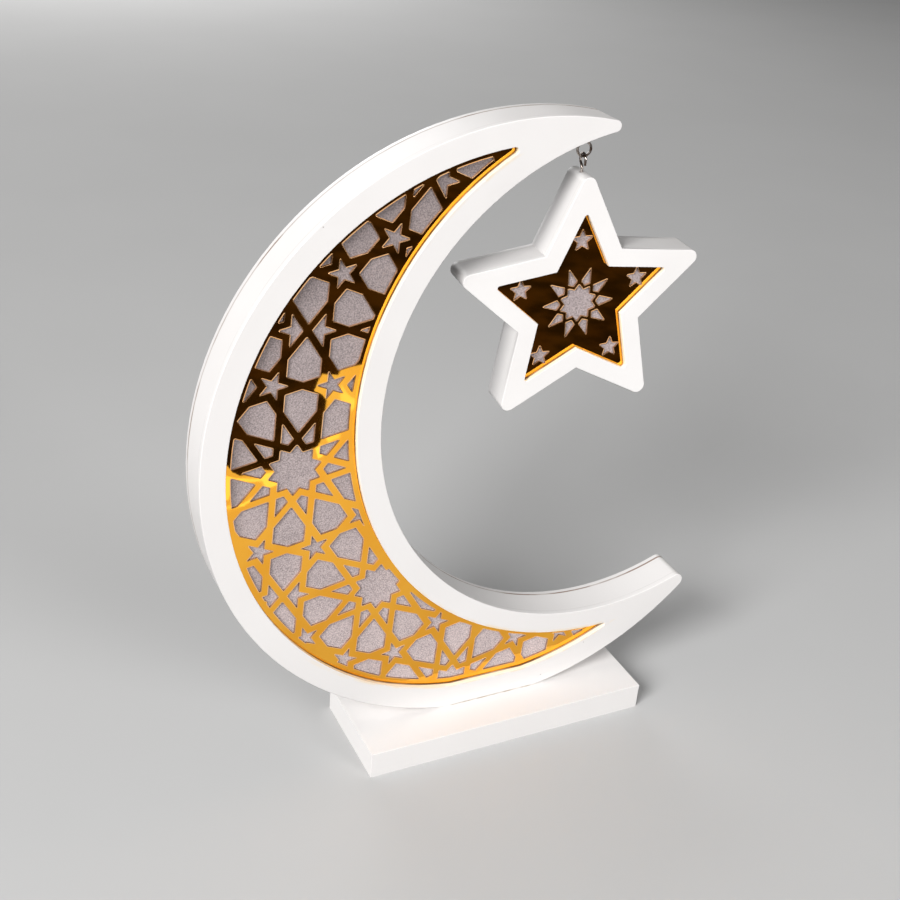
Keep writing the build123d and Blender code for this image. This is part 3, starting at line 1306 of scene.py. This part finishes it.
@dataclass
class Moon(Plaque):
    """The crescent that stands on the block."""

    stem: str = "moon"
    body: Body = Body.STAND
    sheet: str = "moon_gold_lattice"
    front_joint: Mark = SeamLine(
        depth=LAYOUT.front_seam_y,
        half_width=0.30 * MM,
        color=(0.55, 0.53, 0.51),
        strength=0.5,
        least=0.3,
    )
    back_joint: Mark = SeamLine(
        depth=LAYOUT.back_seam_y,
        half_width=0.72 * MM,
        color=(0.20, 0.115, 0.07),
        strength=0.9,
        least=0.45,
    )
    # Painted contact shade along the moon's foot.
    contact_shade: Mark = FootLine(axis=Axis.HEIGHT, place=LAYOUT.foot_z)
    # The moon's front carries painted shade low down and painted contact shade at its foot.
    front: Finish = SatinPaint(
        "moon_front_satin", marks=(PaintedShadeLow(), front_joint, back_joint, Scorch(), contact_shade),
    )
    sides: Finish = SatinPaint("moon_satin", marks=(front_joint, back_joint))
    window: Finish = WindowPaintedLight("moon_window_painted_light")
    # Painted light: the moon's foam is lighter towards the bottom and darker towards the top.
    foam: Finish = GreyFoam("moon_foam", shares=(1.40, 0.64))


@dataclass
class Star(Plaque):
    """The hanging star, made like the moon."""

    stem: str = "star"
    body: Body = Body.STAR
    sheet: str = "star_gold_sheet"
    front_joint: Mark = SeamLine(
        depth=LAYOUT.front_seam_y,
        half_width=0.25 * MM,
        color=(0.55, 0.53, 0.51),
        strength=0.35,
    )
    back_joint: Mark = SeamLine(
        depth=LAYOUT.star_back_seam_y,
        half_width=0.30 * MM,
        color=(0.42, 0.33, 0.27),
        strength=0.4,
    )
    # The star's paint is a touch lighter than the moon's, as painted light, and its side faces carry
    # painted shade.
    front: Finish = SatinPaint(
        "star_satin",
        color=(0.777, 0.756, 0.743),
        marks=(front_joint, back_joint, PaintedWallShade()),
        turned=True,
    )
    sides: Finish = front
    window: Finish = WindowPaintedLight("star_window_painted_light", turned=True)
    foam: Finish = GreyFoam("star_foam")
    turn: float = LAYOUT.star_turn


@dataclass
class Hanger:
    """Screw eye in the horn and screw hook in the star."""

    steel: Finish = ZincSteel("hanger_zinc")

    def build(self) -> None:
        """Builds and dresses the two wire pieces."""
        Board("moon_screw_eye", "screw_eye", Body.EYE, Slot.STEEL, self.steel).build()
        Board("star_screw_hook", "screw_hook", Body.STAR, Slot.STEEL, self.steel).build()


@dataclass
class SoftBox:
    """One soft square light, placed round the ornament by its angles."""

    name: str
    azimuth: float
    elevation: float
    watts: float
    size: float = 1.3
    reach: float = 3.0
    aim: Point = (0.0, 0.0, 0.15)

    def build(self) -> None:
        """Hangs the light."""
        light = bpy.data.lights.new(self.name, "AREA")
        light.energy = self.watts
        light.size = self.size
        holder = bpy.data.objects.new(self.name, light)
        away = direction(self.azimuth, self.elevation)
        holder.location = Vector(self.aim) + self.reach * away
        holder.rotation_euler = (-away).to_track_quat("-Z", "Y").to_euler()
        bpy.context.scene.collection.objects.link(holder)


def mirrored(*spots: Pair) -> tuple[Pair, ...]:
    """Floor points that the camera sees reflected in the moon's gold sheet.

    Args:
        spots: places on the sheet, across and up, in millimetres.

    Returns:
        The floor points, across and in depth, in metres.
    """
    eye_x, eye_y, eye_z = LAYOUT.camera
    sheet_y = LAYOUT.front_seam_y
    found = []
    for across, up in spots:
        onward = up * MM / (eye_z - up * MM)
        x = across * MM + (across * MM - eye_x) * onward
        found.append((x, sheet_y + (eye_y - sheet_y) * onward))
    return tuple(found)


class Ray(Enum):
    """Kinds of ray, by the property that shows an object to them."""

    CAMERA = "visible_camera"
    DIFFUSE = "visible_diffuse"
    GLOSSY = "visible_glossy"
    SHADOW = "visible_shadow"
    TRANSMISSION = "visible_transmission"


@dataclass(frozen=True)
class Card:
    """A flat card on the floor that only mirrors see, placed to paint a reflection into the gold."""

    name: str
    corners: tuple[Pair, ...]
    finish: Finish
    height: float = 0.6 * MM
    hidden_from: tuple[Ray, ...] = (Ray.CAMERA, Ray.DIFFUSE, Ray.SHADOW, Ray.TRANSMISSION)

    def mesh(self) -> bmesh.types.BMesh:
        """One face that looks up.

        Returns:
            The mesh.
        """
        bm = bmesh.new()
        face = bm.faces.new([bm.verts.new((x, y, self.height)) for x, y in self.corners])
        face.normal_update()
        if face.normal.z < 0.0:
            face.normal_flip()
        return bm


@dataclass(frozen=True)
class Ground:
    """A wide flat sheet of paper."""

    name: str
    finish: Finish
    hidden_from: tuple[Ray, ...]
    height: float = 0.0
    half: float = 4.0
    cells: int = 8

    def mesh(self) -> bmesh.types.BMesh:
        """A level grid.

        Returns:
            The mesh.
        """
        bm = bmesh.new()
        bmesh.ops.create_grid(bm, x_segments=self.cells, y_segments=self.cells, size=self.half)
        bmesh.ops.translate(bm, vec=(0.0, 0.0, self.height), verts=bm.verts[:])
        return bm


@dataclass
class Studio:
    """Pale floor with a sheet under it for bounced light, soft lights, and the glowing and dark cards that
    paint the gold's reflections.
    """

    ambient: float = 0.12
    grounds: tuple[Ground, ...] = (
        Ground("floor", Paper("floor_paper"), hidden_from=(Ray.DIFFUSE,)),
        Ground(
            "floor_bounce",
            Paper("bounce_paper", (0.20,) * 3, (0.18,) * 3),
            hidden_from=(Ray.CAMERA, Ray.GLOSSY, Ray.SHADOW, Ray.TRANSMISSION),
            height=-1.0 * MM,
        ),
    )
    cards: tuple[Card, ...] = (
        # Glowing card that paints the gold's bright reflection, dimmer towards the moon.
        Card(
            "white_card",
            ((-0.10, 0.10), (-0.10, -0.46), (0.40, -0.46), (0.40, 0.10)),
            GlowingCard("white_glow", 0.98, 0.68, run=(-0.40, -0.04)),
            height=0.2 * MM,
        ),
        # Dark card that paints the gold's dark reflection.
        Card(
            "dark_card",
            (
                (-0.300, -0.330), (-0.300, -1.500), (0.900, -1.500), (0.900, -0.400), (0.118, -0.400),
                *mirrored(
                    (-81, 225.5), (-87, 224), (-96, 223.5), (-97.5, 220.5), (-105, 222),
                    (-106.5, 219.5), (-108.5, 214), (-105, 212), (-102.5, 208.5), (-104, 189.5),
                    (-106, 185.5), (-119, 180.5), (-127, 176.5), (-132, 178), (-138, 176.5),
                    (-142.5, 176.5), (-146, 179), (-148, 182.5), (-158, 186.5),
                ),
            ),
            Paper("dark_paper", (0.035, 0.023, 0.015), (0.013, 0.0095, 0.006), clouds_per_metre=26.0),
            height=0.4 * MM,
        ),
        # Small glowing cards that paint glints on the gold.
        Card(
            "left_glint",
            mirrored(
                (-151.5, 178.5), (-144.5, 175.5), (-135, 173.5), (-130.5, 175.5), (-125, 176), (-123, 169),
                (-130.5, 167.5), (-132, 172), (-137, 172.5), (-145.5, 172), (-148, 165), (-151.5, 166),
            ),
            GlowingCard("left_glow", 1.7, 1.4),
        ),
        Card(
            "low_glint",
            mirrored(
                (-152, 162), (-141, 162), (-134.5, 165.5), (-131, 169),
                (-131, 167), (-134.5, 164), (-141, 160.5), (-152, 160.5),
            ),
            GlowingCard("low_glow", 1.7, 1.5),
        ),
        Card(
            "mid_glint",
            mirrored((-107, 184.5), (-104, 186), (-103, 180), (-105.5, 179)),
            GlowingCard("mid_glow", 1.8, 1.6),
        ),
        Card(
            "inner_glint",
            mirrored((-102.5, 190), (-95, 192), (-95.5, 188), (-101, 186.5)),
            GlowingCard("inner_glow", 1.7, 1.5),
        ),
        Card(
            "right_glint",
            mirrored(
                (-95.5, 215.5), (-93, 211), (-91, 208.5), (-88.5, 207), (-87.5, 203),
                (-90, 201.5), (-93.5, 201.5), (-91.5, 204.5), (-95.5, 207), (-96, 209.5),
            ),
            GlowingCard("right_glow", 1.7, 1.3),
        ),
    )
    lights: tuple[SoftBox, ...] = (
        SoftBox("key_light", radians(-60), radians(30), 128.0),
        SoftBox("front_light", radians(22), radians(18), 55.0),
        SoftBox("back_light", radians(175), radians(12), 35.0),
    )

    def build(self) -> None:
        """Lays the floor and the cards, hangs the lights and fills the air."""
        for sheet in (*self.grounds, *self.cards):
            self.lay(sheet)
        for light in self.lights:
            light.build()
        self.fill()

    def lay(self, sheet: Ground | Card) -> None:
        """Makes a stage object.

        Args:
            sheet: the floor's paper or a card.
        """
        bm = sheet.mesh()
        mesh = bpy.data.meshes.new(sheet.name)
        bm.to_mesh(mesh)
        bm.free()
        mesh.materials.append(sheet.finish.material())
        made = bpy.data.objects.new(sheet.name, mesh)
        bpy.context.scene.collection.objects.link(made)
        for ray in sheet.hidden_from:
            setattr(made, ray.value, False)

    def fill(self) -> None:
        """Gives the air a faint even light and the picture plain tones."""
        world = bpy.data.worlds.new("studio_air")
        world.use_nodes = True
        air = world.node_tree.nodes["Background"]
        air.inputs["Color"].default_value = (1.0, 1.0, 1.0, 1.0)
        air.inputs["Strength"].default_value = self.ambient
        bpy.context.scene.world = world
        bpy.context.scene.view_settings.view_transform = "Standard"


@dataclass
class PhotoCamera:
    """Camera at the photograph's viewing angle."""

    place: Point = LAYOUT.camera
    azimuth: float = radians(-27.837)
    elevation: float = radians(28.562)
    roll: float = radians(4.864)
    sensor: float = 36.0
    focal_px: float = 1314.1
    frame_px: float = 900.0
    clip: Pair = (0.01, 50.0)

    def build(self) -> None:
        """Sets up the camera."""
        back = direction(self.azimuth, self.elevation)
        level = Vector((cos(self.azimuth), sin(self.azimuth), 0.0))
        right = level * cos(self.roll) + back.cross(level) * sin(self.roll)
        data = bpy.data.cameras.new("photo_camera")
        data.sensor_width = self.sensor
        data.lens = self.focal_px * self.sensor / self.frame_px
        data.clip_start, data.clip_end = self.clip
        camera = bpy.data.objects.new("photo_camera", data)
        pose = Matrix((right, back.cross(right), back)).transposed().to_4x4()
        pose.translation = self.place
        camera.matrix_world = pose
        bpy.context.scene.collection.objects.link(camera)
        bpy.context.scene.camera = camera


def main() -> None:
    """Builds the sub-assemblies in order."""
    logging.basicConfig(level=logging.INFO)
    for assembly in (Base(), Moon(), Star(), Hanger(), Studio(), PhotoCamera()):
        LOG.info("building %s", type(assembly).__name__)
        assembly.build()


if __name__ == "__main__":
    main()
